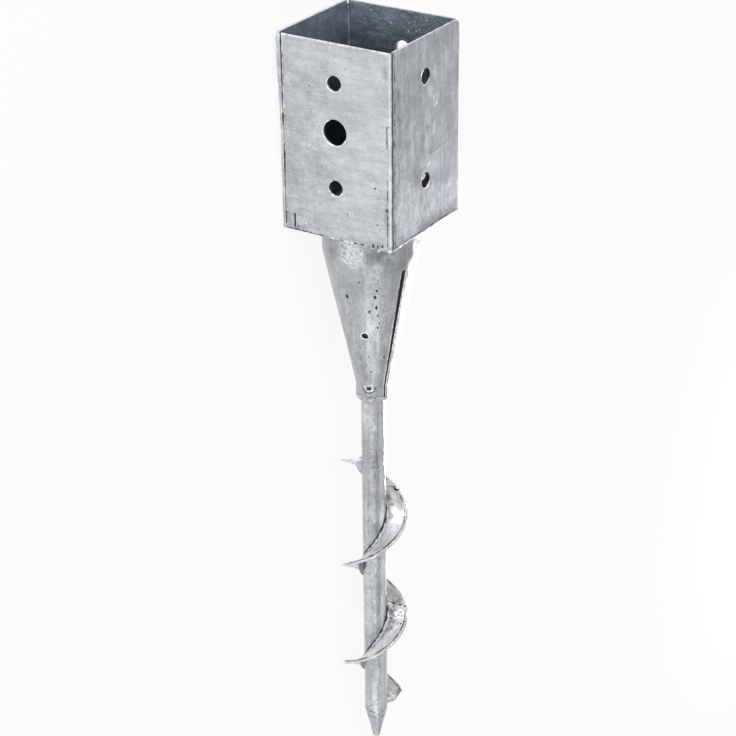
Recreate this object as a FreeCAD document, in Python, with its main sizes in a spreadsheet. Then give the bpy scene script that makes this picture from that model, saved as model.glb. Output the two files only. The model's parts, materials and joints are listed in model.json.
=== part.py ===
"""Ground screw with a square post socket, lying as it comes to rest.

The screw is drawn upright about its own axis: u points out of the right wall, v out of the
back wall and z up to the mouth, with the socket's underside at z = 0. Every piece then gets
the same placement, which lays the screw down on its left wall and its auger.
"""
import FreeCAD, Part
import math
import os

import Sketcher
from FreeCAD import Placement, Rotation, Vector

# Driving dimensions in millimetres and degrees. Heights under the socket are depths below it.
SIZES = [
    ("post_side", 91.0, "clear width of the socket, for a 90 mm post"),
    ("wall", 2.0, "sheet thickness of the socket walls"),
    ("socket_height", 150.0, "height of the socket"),
    ("mouth_corner", 5.0, "rounding of the side walls' free corner at the mouth"),
    ("corner_gap", 1.0, "open slit between a wall's covered end and the wall that covers it"),
    ("corner_weld_height", 82.0, "height of the corner welds above the underside"),
    ("weld_recess", 0.6, "how far a corner weld stays behind the wall's outer face"),
    ("lean_out", 2.5, "how far the left wall is bent outward at the mouth"),
    ("screw_hole", 12.0, "diameter of the fixing holes"),
    ("bar_hole", 20.0, "diameter of the hole for the turning bar"),
    ("hole_depth_high", 30.0, "upper fixing hole below the mouth"),
    ("hole_depth_bar", 67.0, "bar hole below the mouth"),
    ("hole_depth_low", 110.0, "lower fixing hole below the mouth"),
    ("slit_place", 36.8, "slit in the front wall, from its middle"),
    ("slit_width", 1.3, "width of that slit"),
    ("slit_height", 11.0, "length of that slit"),
    ("slit_rise", 1.8, "lower end of the slit above the underside"),
    ("floor_thickness", 3.0, "thickness of the floor plate"),
    ("drain_hole", 12.0, "drain hole in the floor plate"),
    ("fit_gap", 0.1, "clearance between pieces that are welded together"),
    ("seam_width", 3.4, "width of the bead round the socket's underside"),
    ("seam_drop", 1.1, "height of that bead"),
    ("seam_round", 0.8, "rounding of that bead"),
    ("cone_inset", 8.0, "step in from the socket's inner faces to the tube under it"),
    ("cone_wall", 2.7, "wall of that tube"),
    ("cone_straight", 23.0, "depth at which the tube starts to taper"),
    ("cone_bottom", 138.0, "depth at which the taper ends in the collar"),
    ("collar_length", 11.0, "length of the collar"),
    ("collar_wall", 3.7, "wall of the collar, thickened by the swaging"),
    ("cone_bend", 16.0, "bend radius at both ends of the taper"),
    ("cone_weld_leg", 3.0, "leg of the fillet weld between tube and floor plate"),
    ("slot_angle", -14.5, "place of the tapered slot round the axis, from the right wall"),
    ("slot_top", 32.0, "depth of the slot's closed upper end"),
    ("slot_width_top", 4.8, "width of the slot at its upper end"),
    ("slot_width_end", 2.2, "width of the slot at the collar"),
    ("vent_angle", -71.0, "place of the vent and the plug weld round the axis"),
    ("vent_depth", 88.0, "depth of the vent hole"),
    ("vent_hole", 6.0, "diameter of the vent hole"),
    ("plug_drop", 2.0, "plug weld below the end of the taper"),
    ("plug_hole", 7.0, "hole in the collar that the plug weld fills"),
    ("plug_proud", 0.9, "how far the plug weld stands out of the collar"),
    ("plug_crater", 2.4, "crater in the plug weld"),
    ("shaft_diameter", 19.0, "round bar of the screw"),
    ("shaft_top", 118.0, "depth of the bar's upper end, inside the tube"),
    ("point_length", 31.0, "length of the bar's turned point"),
    ("shoulder_drop", 6.0, "shoulder below the start of the point"),
    ("ring_drop", 12.0, "turned ring below the start of the point"),
    ("shoulder_diameter", 16.8, "point at its shoulder"),
    ("tip_diameter", 5.2, "point at its end"),
    ("tip_round", 1.8, "rounding of that end"),
    ("ring_groove", 0.5, "depth of the grooves at shoulder and ring"),
    ("collar_weld_leg", 3.6, "leg of the weld between collar and bar"),
    ("flight_diameter", 54.0, "outer diameter of the auger"),
    ("flight_lead", 97.5, "climb of the auger in one turn"),
    ("flight_thickness", 3.0, "thickness of the blades, along the axis"),
    ("flight_start", 209.3, "depth at which the auger starts"),
    ("flight_start_angle", -147.2, "place of the auger's start round the axis"),
    ("upper_joint_angle", 133.0, "turn at which the upper blade meets the middle one, at the rim"),
    ("lower_joint_angle", 530.0, "turn at which the middle blade meets the lower one, at the rim"),
    ("joint_slant_angle", 32.0, "how much sooner a blade joint reaches the bar than the rim"),
    ("joint_gap_angle", 1.0, "opening between two blades at their joint"),
    ("joint_step", 1.2, "step between two blades at their joint"),
    ("flight_end_angle", 880.0, "turn at which the auger ends"),
    ("end_slant_angle", 15.0, "how much sooner the rim ends than the cut end"),
    ("flight_clearance", 1.4, "end of the auger above the start of the bar's point"),
    ("end_radius", 17.0, "radius at which the end's cut-off corner starts"),
    ("root_weld_leg", 2.6, "leg of the weld between blade and bar"),
]

QUARTER_TURN = 90
FULL_TURN = 360
TINY = 1e-6  # a length or volume that counts as none
BEAD_FULLNESS = 0.62  # how far a round bead's face stands out, as a share of its leg
CUT_INSIDE = 0.6  # a cut through a blade starts at this share of its root's radius
CUT_OUTSIDE = 1.2  # and ends at this share of its rim's radius
CUT_PAST_JOINT = 8  # and goes on for this many degrees past a joint
CUT_PAST_END = 2  # or past the auger's end
STEEPEST_TILT = 20.0  # no screw of this kind lies steeper
TILT_HALVINGS = 18  # steps of the search for the tilt at which it rests

PLANE_OF = {"front": "XZ_Plane", "side": "YZ_Plane", "plan": "XY_Plane"}
UP = Vector(0, 0, 1)
ALONG_V = Vector(0, 1, 0)

doc = FreeCAD.newDocument("GroundScrew")
sheet = doc.addObject("Spreadsheet::Sheet", "Sizes")


class Size:
    """A length or angle: its value, and the same as an expression of the sheet's cells."""

    def __init__(self, value, text):
        self.value = value
        self.text = text

    def join(self, sign, other, result):
        text = other.text if isinstance(other, Size) else str(other)
        return Size(result, f"({self.text} {sign} {text})")

    def __add__(self, other):
        return self.join("+", other, self.value + plain(other))

    def __sub__(self, other):
        return self.join("-", other, self.value - plain(other))

    def __mul__(self, other):
        return self.join("*", other, self.value * plain(other))

    def __truediv__(self, other):
        return self.join("/", other, self.value / plain(other))

    def __neg__(self):
        return Size(-self.value, f"(0 - {self.text})")


NO_TURN = Size(0, "0")


def plain(number):
    return number.value if isinstance(number, Size) else number


def polar(radius, turn):
    """The place at a radius and an angle round the axis, as seen in plan."""
    across = Size(math.cos(math.radians(turn.value)), f"cos({turn.text} * 1 deg)")
    along = Size(math.sin(math.radians(turn.value)), f"sin({turn.text} * 1 deg)")
    return across * radius, along * radius


def fill_sheet():
    """Write the driving dimensions into the sheet and return them by name."""
    named = {}
    for row, (alias, value, meaning) in enumerate(SIZES, start=1):
        sheet.set(f"A{row}", meaning)
        sheet.set(f"B{row}", str(value))
        sheet.setAlias(f"B{row}", alias)
        named[alias] = Size(value, f"Sizes.{alias}")
    doc.recompute()
    return named


def bind(thing, path, size):
    thing.setExpression(path, size.text)


# Bodies, sketches and features
def new_body(label):
    body = doc.addObject("PartDesign::Body", label)
    body.Label = label
    return body


def new_sketch(body, view, name, offset=None, turn=None):
    """A sketch on one of the body's own planes, turned about z or moved along its normal."""
    plane = next(f for f in body.Origin.OriginFeatures if f.Role == PLANE_OF[view])
    sketch = body.newObject("Sketcher::SketchObject", name)
    sketch.AttachmentSupport = [(plane, "")]
    sketch.MapMode = "FlatFace"
    if turn:
        sketch.AttachmentOffset = Placement(Vector(), Rotation(ALONG_V, turn.value))
        bind(sketch, "AttachmentOffset.Rotation.Angle", turn)
    if offset:
        along, across = polar(offset, turn) if turn else (offset, None)
        bind(sketch, "AttachmentOffset.Base.z", along)
        if across:
            bind(sketch, "AttachmentOffset.Base.x", across)
    return sketch


def hold(sketch, item, end, x, y):
    """Hold one point of a sketch at the named place."""
    for kind, axis, size in (("DistanceX", -2, x), ("DistanceY", -1, y)):
        if isinstance(size, Size):
            index = sketch.addConstraint(Sketcher.Constraint(kind, -1, 1, item, end, size.value))
            bind(sketch, f"Constraints[{index}]", size)
        else:
            sketch.addConstraint(Sketcher.Constraint("PointOnObject", item, end, axis))


def add_outline(sketch, points):
    """A closed outline of straight lines through the named points. 0 lies on the axis."""
    first = sketch.GeometryCount
    spots = [Vector(plain(x), plain(y), 0) for x, y in points]
    count = len(points)
    for k in range(count):
        sketch.addGeometry(Part.LineSegment(spots[k], spots[(k + 1) % count]), False)
    for k, (x, y) in enumerate(points):
        before = first + (k - 1) % count
        sketch.addConstraint(Sketcher.Constraint("Coincident", before, 2, first + k, 1))
        hold(sketch, first + k, 1, x, y)


def add_circle(sketch, x, y, diameter):
    place = Vector(plain(x), plain(y), 0)
    item = sketch.addGeometry(Part.Circle(place, UP, diameter.value / 2), False)
    hold(sketch, item, 3, x, y)
    index = sketch.addConstraint(Sketcher.Constraint("Diameter", item, diameter.value))
    bind(sketch, f"Constraints[{index}]", diameter)


def pad(body, sketch, name, length, midplane=False):
    feature = body.newObject("PartDesign::Pad", name)
    feature.Profile = sketch
    feature.Length = length.value
    feature.Midplane = midplane
    bind(feature, "Length", length)
    doc.recompute()
    return feature


def pocket(body, sketch, name, length, reverse=False, midplane=False):
    """Cut a sketch out of the body, and make sure that it took something away."""
    before = body.Shape.Volume
    feature = body.newObject("PartDesign::Pocket", name)
    feature.Profile = sketch
    feature.Length = length.value
    feature.Midplane = midplane
    feature.Reversed = reverse
    bind(feature, "Length", length)
    doc.recompute()
    if body.Shape.Volume >= before - TINY:
        raise RuntimeError(f"{name} cuts nothing")
    return feature


def revolve(body, sketch, name):
    feature = body.newObject("PartDesign::Revolution", name)
    feature.Profile = sketch
    feature.ReferenceAxis = (sketch, ["V_Axis"])
    feature.Angle = FULL_TURN
    doc.recompute()
    return feature


def fillet(body, base, name, radius, wanted):
    """Round those edges of the feature that the test picks."""
    names = [f"Edge{k}" for k, edge in enumerate(base.Shape.Edges, start=1) if wanted(edge)]
    feature = body.newObject("PartDesign::Fillet", name)
    feature.Base = (base, names)
    feature.Radius = radius.value
    bind(feature, "Radius", radius)
    doc.recompute()
    return feature


# The socket: each wall covers the end of one neighbour and ends short of the other
def covered_end(size):
    return size["post_side"] / 2 - size["corner_gap"]


def covering_end(size):
    return size["post_side"] / 2 + size["wall"]


def cross_wall(label, size, side, marks):
    """The front wall (side -1) or the back wall (side 1), punched; in front with a slit."""
    body = new_body(label)
    outer = covering_end(size)
    if side > 0:
        offset, left, right = -outer, -outer, covered_end(size)
    else:
        offset, left, right = outer - size["wall"], -covered_end(size), outer
    sketch = new_sketch(body, "front", f"{label}_blank", offset=offset)
    top = size["socket_height"]
    add_outline(sketch, [(left, 0), (right, 0), (right, top), (left, top)])
    add_circle(sketch, 0, top - size["hole_depth_high"], size["screw_hole"])
    add_circle(sketch, 0, top - size["hole_depth_bar"], size["bar_hole"])
    add_circle(sketch, 0, top - size["hole_depth_low"], size["screw_hole"])
    if marks:
        left = -size["slit_place"] - size["slit_width"] / 2
        right = -size["slit_place"] + size["slit_width"] / 2
        low = size["slit_rise"]
        high = low + size["slit_height"]
        add_outline(sketch, [(left, low), (right, low), (right, high), (left, high)])
    pad(body, sketch, f"{label}_sheet", size["wall"])
    return body


def side_wall(label, size, side, lean):
    """The left wall (side -1) or the right wall (side 1), with one rounded free corner."""
    body = new_body(label)
    back_end = covering_end(size) if side > 0 else covered_end(size)
    profile = new_sketch(body, "front", f"{label}_profile", offset=-back_end)
    inner = size["post_side"] / 2 * side
    outer = covering_end(size) * side
    top = size["socket_height"]
    points = [(inner, 0), (outer, 0)]
    if lean:
        bend = size["corner_weld_height"]
        points += [(outer, bend), (outer + lean * side, top), (inner + lean * side, top),
                   (inner, bend)]
    else:
        points += [(outer, top), (inner, top)]
    add_outline(profile, points)
    pad(body, profile, f"{label}_sheet", covered_end(size) + covering_end(size))
    holes = new_sketch(body, "side", f"{label}_holes")
    add_circle(holes, 0, top - size["hole_depth_high"], size["screw_hole"])
    add_circle(holes, 0, top - size["hole_depth_low"], size["screw_hole"])
    punched = pocket(body, holes, f"{label}_punched", size["post_side"], reverse=side > 0)

    def free_corner(edge):
        """The edge across the sheet at the mouth, at the end that covers its neighbour."""
        box = edge.BoundBox
        across = abs(box.XLength - size["wall"].value) < size["wall"].value / 2
        at_mouth = box.ZMin > top.value - size["wall"].value
        return across and at_mouth and abs(box.Center.y - outer.value) < TINY

    fillet(body, punched, f"{label}_corner", size["mouth_corner"], free_corner)
    return body


def corner_weld(label, size, side_u, side_v, recess, on_cross_wall):
    """The bead that closes the slit at a covered end, from the underside upward."""
    body = new_body(label)
    sketch = new_sketch(body, "plan", f"{label}_section")
    end, face = covered_end(size), size["post_side"] / 2
    surface = covering_end(size) - recess
    if on_cross_wall:
        low_u, high_u, low_v, high_v = end, face, face, surface
    else:
        low_u, high_u, low_v, high_v = face, surface, end, face
    add_outline(sketch, [(low_u * side_u, low_v * side_v), (high_u * side_u, low_v * side_v),
                         (high_u * side_u, high_v * side_v), (low_u * side_u, high_v * side_v)])
    pad(body, sketch, f"{label}_bead", size["corner_weld_height"])
    return body


def floor_plate(size):
    body = new_body("floor_plate")
    sketch = new_sketch(body, "plan", "floor_blank")
    half = size["post_side"] / 2 - size["fit_gap"]
    add_outline(sketch, [(-half, -half), (half, -half), (half, half), (-half, half)])
    add_circle(sketch, 0, 0, size["drain_hole"])
    pad(body, sketch, "floor_sheet", size["floor_thickness"])
    return body


def floor_weld(size):
    """The bead round the socket's underside, between the walls and the floor plate."""
    body = new_body("floor_weld")
    sketch = new_sketch(body, "plan", "floor_weld_section", offset=-size["seam_drop"])
    outer = size["post_side"] / 2 + size["wall"] - size["fit_gap"]
    inner = outer - size["seam_width"]
    for half in (outer, inner):
        add_outline(sketch, [(-half, -half), (half, -half), (half, half), (-half, half)])
    bead = pad(body, sketch, "floor_weld_bead", size["seam_drop"])
    low = -size["seam_drop"].value

    def lower_edge(edge):
        return all(abs(vertex.Point.z - low) < TINY for vertex in edge.Vertexes)

    fillet(body, bead, "floor_weld_round", size["seam_round"], lower_edge)
    return body


# The tube under the socket
def cone_radius(size):
    return size["post_side"] / 2 - size["cone_inset"]


def collar_radius(size):
    return size["shaft_diameter"] / 2 + size["fit_gap"] + size["collar_wall"]


def collar_end(size):
    return -(size["cone_bottom"] + size["collar_length"])


def plug_level(size):
    return -(size["cone_bottom"] + size["plug_drop"])


def cone(size):
    """A tube swaged to a slotted cone that ends in a collar round the bar."""
    body = new_body("cone")
    sketch = new_sketch(body, "front", "cone_profile")
    outer = cone_radius(size)
    inner = outer - size["cone_wall"]
    collar = collar_radius(size)
    bore = size["shaft_diameter"] / 2 + size["fit_gap"]
    straight = -size["cone_straight"]
    bottom = -size["cone_bottom"]
    end = collar_end(size)
    add_outline(sketch, [(inner, 0), (outer, 0), (outer, straight), (collar, bottom),
                         (collar, end), (bore, end), (bore, bottom + size["cone_wall"]),
                         (inner, straight)])
    tube = revolve(body, sketch, "cone_tube")
    bends = (straight.value, bottom.value, (bottom + size["cone_wall"]).value)

    def at_bend(edge):
        middle = edge.BoundBox.Center.z
        return edge.BoundBox.ZLength < TINY and any(abs(middle - z) < TINY for z in bends)

    fillet(body, tube, "cone_bends", size["cone_bend"], at_bend)
    slot = new_sketch(body, "front", "slot_outline", turn=size["slot_angle"] + QUARTER_TURN)
    high = -size["slot_top"]
    wide = size["slot_width_top"] / 2
    narrow = size["slot_width_end"] / 2
    below = end - size["cone_wall"]
    add_outline(slot, [(-wide, high), (wide, high), (narrow, bottom), (narrow, below),
                       (-narrow, below), (-narrow, bottom)])
    pocket(body, slot, "slot", outer, reverse=True)
    holes = new_sketch(body, "front", "vent_outline", turn=size["vent_angle"] + QUARTER_TURN)
    add_circle(holes, 0, -size["vent_depth"], size["vent_hole"])
    add_circle(holes, 0, plug_level(size), size["plug_hole"])
    pocket(body, holes, "vent", outer, reverse=True)
    return body


def ring_weld(label, points):
    """A weld bead that runs all the way round the axis."""
    body = new_body(label)
    sketch = new_sketch(body, "front", f"{label}_section")
    add_outline(sketch, points)
    revolve(body, sketch, f"{label}_bead")
    return body


def cone_weld(size):
    inner = cone_radius(size) + size["fit_gap"]
    leg = size["cone_weld_leg"]
    top = -size["fit_gap"]
    return ring_weld("cone_weld", [(inner, top), (inner + leg, top), (inner, top - leg)])


def collar_weld(size):
    """Two flats stand for the round bead between the collar's end and the bar."""
    inner = size["shaft_diameter"] / 2 + size["fit_gap"]
    top = collar_end(size) - size["fit_gap"]
    leg = size["collar_weld_leg"]
    full = leg * BEAD_FULLNESS
    return ring_weld("collar_weld", [(inner, top), (inner + leg, top), (inner + full, top - full),
                                     (inner, top - leg)])


def plug_weld(size):
    """The weld that fills the collar's hole, with a crater in its face."""
    body = new_body("plug_weld")
    turn = size["vent_angle"] + QUARTER_TURN
    start = size["shaft_diameter"] / 2 + size["fit_gap"]
    face = collar_radius(size) + size["plug_proud"]
    sketch = new_sketch(body, "front", "plug_section", turn=turn, offset=start)
    add_circle(sketch, 0, plug_level(size), size["plug_hole"] - size["fit_gap"] * 2)
    pad(body, sketch, "plug_fill", face - start)
    crater = new_sketch(body, "front", "plug_crater", turn=turn, offset=face)
    add_circle(crater, 0, plug_level(size), size["plug_crater"])
    pocket(body, crater, "plug_dimple", size["plug_proud"])
    return body


# The screw
def turn_at(size, angle):
    """Place round the axis, from the right wall, after so many degrees of auger."""
    return size["flight_start_angle"] - angle


def level_at(size, angle):
    """Height of the blade's middle after so many degrees of auger, below the underside."""
    return -size["flight_start"] - size["flight_lead"] * angle / FULL_TURN


def point_start(size):
    """The bar is turned to its point from a little below the auger's end."""
    return level_at(size, size["flight_end_angle"]) - size["flight_clearance"]


def shaft(size):
    """A round bar, turned to a point with a shoulder and a ring, and a rounded end."""
    body = new_body("shaft")
    sketch = new_sketch(body, "front", "shaft_profile")
    bar = size["shaft_diameter"] / 2
    shoulder = size["shoulder_diameter"] / 2
    tip = size["tip_diameter"] / 2
    groove = size["ring_groove"]
    start = point_start(size)
    shoulder_level = start - size["shoulder_drop"]
    ring_level = start - size["ring_drop"]
    low = start - size["point_length"]
    taper = (shoulder - tip) / (shoulder_level - low)
    ring = tip + taper * (ring_level - low)
    add_outline(sketch, [
        (0, -size["shaft_top"]), (bar, -size["shaft_top"]), (bar, start),
        (shoulder, shoulder_level), (shoulder - groove, shoulder_level - groove),
        (shoulder - groove / 2, shoulder_level - groove * 2),
        (ring, ring_level), (ring - groove, ring_level - groove),
        (ring - groove, ring_level - groove * 2), (tip, low), (0, low)])
    bar_turned = revolve(body, sketch, "shaft_bar")

    def at_tip(edge):
        return edge.BoundBox.ZMax < low.value + TINY

    fillet(body, bar_turned, "shaft_tip", size["tip_round"], at_tip)
    return body


def helix_sweep(body, size, name, section, start, end, drop=None):
    """Sweep a section along the auger's helix, between two angles of it.

    The section is given from the blade's middle plane, at the lower end of the sweep.
    """
    level = level_at(size, end)
    if drop:
        level = level - drop
    sketch = new_sketch(body, "front", f"{name}_section", turn=turn_at(size, end))
    add_outline(sketch, [(x, level + y) for x, y in section])
    feature = body.newObject("PartDesign::AdditiveHelix", name)
    feature.Profile = sketch
    feature.ReferenceAxis = (sketch, ["V_Axis"])
    feature.Mode = "pitch-height-angle"
    feature.LeftHanded = False
    height = size["flight_lead"] * (end - start) / FULL_TURN
    feature.Pitch = size["flight_lead"].value
    feature.Height = height.value
    bind(feature, "Pitch", size["flight_lead"])
    bind(feature, "Height", height)
    doc.recompute()
    return feature


def trim(body, size, name, points, high_turn, slant):
    """Cut a blade to an outline in plan, over the height that a slanted end takes."""
    clear = size["flight_thickness"] * 2
    sketch = new_sketch(body, "plan", f"{name}_outline", offset=level_at(size, high_turn) + clear)
    add_outline(sketch, points)
    pocket(body, sketch, name, size["flight_lead"] * slant / FULL_TURN + clear * 2)


def blade(label, size, start, end, starts_at_joint, ends_at_joint, drop=None):
    """A pressed blade of the auger: a helicoid between bar and rim, with its own ends."""
    body = new_body(label)
    root = size["shaft_diameter"] / 2 + size["fit_gap"]
    rim = size["flight_diameter"] / 2
    half = size["flight_thickness"] / 2
    slant = size["joint_slant_angle"]
    first = start - slant if starts_at_joint else start
    section = [(root, -half), (rim, -half), (rim, half), (root, half)]
    helix_sweep(body, size, f"{label}_sweep", section, first, end, drop)
    inside = root * CUT_INSIDE
    outside = rim * CUT_OUTSIDE
    if starts_at_joint:
        opening = size["joint_gap_angle"]
        before = turn_at(size, first - CUT_PAST_JOINT)
        points = [polar(inside, turn_at(size, first + opening)),
                  polar(root, turn_at(size, first + opening)),
                  polar(rim, turn_at(size, start + opening)),
                  polar(outside, turn_at(size, start + opening)),
                  polar(outside, before), polar(inside, before)]
        trim(body, size, f"{label}_start", points, first, slant)
    if ends_at_joint:
        after = turn_at(size, end + CUT_PAST_JOINT)
        points = [polar(inside, turn_at(size, end - slant)),
                  polar(root, turn_at(size, end - slant)), polar(rim, turn_at(size, end)),
                  polar(outside, after), polar(inside, after)]
        trim(body, size, f"{label}_end", points, end - slant, slant)
    else:
        slope = size["end_slant_angle"]
        after = turn_at(size, end + CUT_PAST_END)
        points = [polar(size["end_radius"], after), polar(rim, turn_at(size, end - slope)),
                  polar(outside, turn_at(size, end - slope)), polar(outside, after)]
        trim(body, size, f"{label}_corner", points, end - slope, slope)
    return body


def root_weld(label, size, start, end, drop=None):
    """The fillet weld on a blade's upper face, along the bar."""
    body = new_body(label)
    root = size["shaft_diameter"] / 2 + size["fit_gap"]
    base = size["flight_thickness"] / 2 + size["fit_gap"]
    leg = size["root_weld_leg"]
    section = [(root, base), (root + leg, base), (root, base + leg)]
    helix_sweep(body, size, f"{label}_bead", section, start, end, drop)
    return body


def build_pieces(size):
    """All pieces, upright about the screw's axis: those of the socket, those of the screw."""
    recess = size["weld_recess"]
    socket = [
        cross_wall("front_wall", size, -1, marks=True),
        cross_wall("back_wall", size, 1, marks=False),
        side_wall("right_wall", size, 1, None),
        side_wall("left_wall", size, -1, size["lean_out"]),
        corner_weld("front_corner_weld", size, 1, -1, recess, on_cross_wall=False),
        corner_weld("left_corner_weld", size, -1, -1, size["fit_gap"], on_cross_wall=True),
        corner_weld("right_corner_weld", size, 1, 1, recess, on_cross_wall=True),
        corner_weld("back_corner_weld", size, -1, 1, recess, on_cross_wall=False),
        floor_plate(size),
        floor_weld(size),
    ]
    step = size["joint_step"]
    one = size["upper_joint_angle"]
    two = size["lower_joint_angle"]
    end = size["flight_end_angle"]
    slant = size["joint_slant_angle"]
    ease = size["joint_gap_angle"] * 3
    screw = [
        cone(size),
        cone_weld(size),
        shaft(size),
        collar_weld(size),
        plug_weld(size),
        blade("blade_upper", size, NO_TURN, one, False, True),
        blade("blade_middle", size, one, two, True, True, step),
        blade("blade_lower", size, two, end, True, False),
        root_weld("blade_weld_upper", size, ease, one - slant - ease),
        root_weld("blade_weld_middle", size, one - slant / 2, two - slant - ease, step),
        root_weld("blade_weld_lower", size, two - slant / 2, end - ease),
    ]
    return socket, screw


# Lying down
def laid(body, tilt):
    """A piece's shape with the screw's axis level, turned down at the tip by the tilt."""
    shape = body.Shape.copy()
    shape.Placement = Placement(Vector(), Rotation(ALONG_V, tilt - QUARTER_TURN))
    return shape.optimalBoundingBox(False)


def rest_tilt(socket, screw):
    """The tilt at which the socket's lowest edge and the auger's rim are level."""
    flat, steep = 0.0, STEEPEST_TILT
    for _ in range(TILT_HALVINGS):
        tilt = (flat + steep) / 2
        mouth = min(laid(body, tilt).ZMin for body in socket)
        rim = min(laid(body, tilt).ZMin for body in screw)
        if mouth < rim:
            flat = tilt
        else:
            steep = tilt
    return (flat + steep) / 2


def lie_down(socket, screw):
    """Lay all pieces down with one placement, whose numbers are kept in the sheet."""
    pieces = socket + screw
    carriers = [body for body in socket if "wall" in body.Label]
    blades = [body for body in screw if body.Label in ("blade_middle", "blade_lower")]
    tilt = rest_tilt(carriers, blades)
    boxes = [laid(body, tilt) for body in pieces]
    middle_x = (min(b.XMin for b in boxes) + max(b.XMax for b in boxes)) / 2
    middle_y = (min(b.YMin for b in boxes) + max(b.YMax for b in boxes)) / 2
    lowest = min(b.ZMin for b in boxes)
    lying = [("lie_turn", tilt - QUARTER_TURN), ("lie_x", -middle_x), ("lie_y", -middle_y),
             ("lie_z", -lowest)]
    for row, (alias, value) in enumerate(lying, start=len(SIZES) + 2):
        sheet.set(f"A{row}", "placement of the lying screw")
        sheet.set(f"B{row}", f"{value:.5f}")
        sheet.setAlias(f"B{row}", alias)
    doc.recompute()
    for body in pieces:
        body.Placement = Placement(Vector(), Rotation(ALONG_V, tilt - QUARTER_TURN))
        body.setExpression("Placement.Rotation.Angle", "Sizes.lie_turn")
        for axis in "xyz":
            body.setExpression(f"Placement.Base.{axis}", f"Sizes.lie_{axis}")
    doc.recompute()
    print(f"tilt of the axis {tilt:.3f} degrees")


def main():
    size = fill_sheet()
    socket, screw = build_pieces(size)
    lie_down(socket, screw)
    failed = [thing.Name for thing in doc.Objects
              if "Invalid" in thing.State or "Error" in thing.State]
    if failed:
        raise RuntimeError(f"failed features: {failed}")
    os.makedirs("parts", exist_ok=True)
    for body in socket + screw:
        shape = body.Shape
        if shape.isNull() or not shape.isValid() or len(shape.Solids) != 1:
            raise RuntimeError(f"{body.Label} is not one sound solid")
        print(f"{body.Label:20s} {shape.Volume:10.1f} mm3")
    for body in socket + screw:
        body.Shape.exportStep(f"parts/{body.Label}.step")


main()
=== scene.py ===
"""Looks of a hot-dip galvanised ground screw that lies as it comes to rest.

Places on the screw are given in its own frame, in millimetres: u points out of the right
wall, v out of the back wall and z up to the mouth, with the socket's underside at z = 0.
Depths run down from the underside, angles round the axis from u towards v, and the auger's
turns down from its upper end.
"""

import json
import math
from math import cos, radians, sin, tau

import bmesh
import bpy
from mathutils import Matrix, Vector, noise


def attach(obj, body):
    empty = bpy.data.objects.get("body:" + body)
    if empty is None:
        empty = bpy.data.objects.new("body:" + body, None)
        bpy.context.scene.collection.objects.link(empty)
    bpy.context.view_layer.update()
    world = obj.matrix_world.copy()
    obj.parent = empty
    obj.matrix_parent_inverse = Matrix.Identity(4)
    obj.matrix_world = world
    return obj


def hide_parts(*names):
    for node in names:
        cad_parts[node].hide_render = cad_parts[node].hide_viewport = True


MM = 0.001

# The socket
WALL = 2.0
INNER = 45.5  # from the axis to a wall's inner face
OUTER = INNER + WALL
HEIGHT = 150.0
COVERED = INNER - 1.0  # a wall's end that its neighbour covers
SEAM_TOP = 82.0  # the corner welds end here
LEAN_OUT = 2.5  # of the left wall, at the mouth
EDGE_ROUND = 0.35
BEAD_ROUND = 0.2
FIT_GAP = 0.1  # between pieces that are welded together
FIXING_RADIUS = 6.0
HIGH_HOLE = 120.0  # heights of the holes' axes
BAR_HOLE = 83.0
LOW_HOLE = 40.0
BAR_HOLE_RADIUS = 10.0
WALL_HOLES = ((HIGH_HOLE, FIXING_RADIUS), (BAR_HOLE, BAR_HOLE_RADIUS), (LOW_HOLE, FIXING_RADIUS))

# The tube under the socket
TUBE_RADIUS = 37.5
TUBE_WALL = 2.7
TUBE_STRAIGHT = 23.0
TAPER_END = 138.0
COLLAR_RADIUS = 13.3
COLLAR_END = 149.0
BEND_RADIUS = 16.0
END_ROUND = 0.5  # of the collar
SLOT_ANGLE = -14.5
SLOT_TOP = 32.0
SLOT_WIDTH_TOP = 4.8
SLOT_WIDTH_END = 2.2
VENT_ANGLE = -71.0
VENT_DEPTH = 88.0
VENT_RADIUS = 3.0
PLUG_DEPTH = 138.4

# The bar and the auger
BAR_RADIUS = 9.5
BAR_TOP = 118.0
POINT_START = 449.03
POINT_END = 480.03
SHOULDER = POINT_START + 6.0
SHOULDER_RADIUS = 8.4
POINT_RING = POINT_START + 12.0
TIP_RADIUS = 2.6
TIP_ROUND = 1.8
RIM_RADIUS = 27.0
LEAD = 97.5
BLADE_THICKNESS = 3.0
AUGER_START = 209.3
START_ANGLE = -147.2
UPPER_JOINT = 133.0
LOWER_JOINT = 530.0
AUGER_END = 880.0
JOINT_SLANT = 32.0
JOINT_STEP = 1.2
END_SLANT = 15.0
END_CUT_RADIUS = 17.0
BEAD_LEG = 2.6

# The camera, in the screw's frame
VIEW_AZIMUTH = -57.19
VIEW_ELEVATION = 26.95
VIEW_ROLL = -0.66
VIEW_DISTANCE = 1588.0
VIEW_RIGHT = -2.4
VIEW_UP = -113.4
FOCAL_PIXELS = 2106.0
IMAGE_PIXELS = 736.0
SENSOR = 36.0

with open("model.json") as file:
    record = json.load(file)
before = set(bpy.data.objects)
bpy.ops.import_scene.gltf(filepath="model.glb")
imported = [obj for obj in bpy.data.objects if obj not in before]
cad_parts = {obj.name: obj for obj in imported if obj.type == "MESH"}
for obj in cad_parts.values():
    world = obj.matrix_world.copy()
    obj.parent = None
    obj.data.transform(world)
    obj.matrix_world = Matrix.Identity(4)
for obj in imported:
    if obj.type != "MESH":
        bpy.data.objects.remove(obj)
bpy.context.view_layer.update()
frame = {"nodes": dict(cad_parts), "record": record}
scene = bpy.context.scene
scene.view_settings.view_transform = "Standard"

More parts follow.
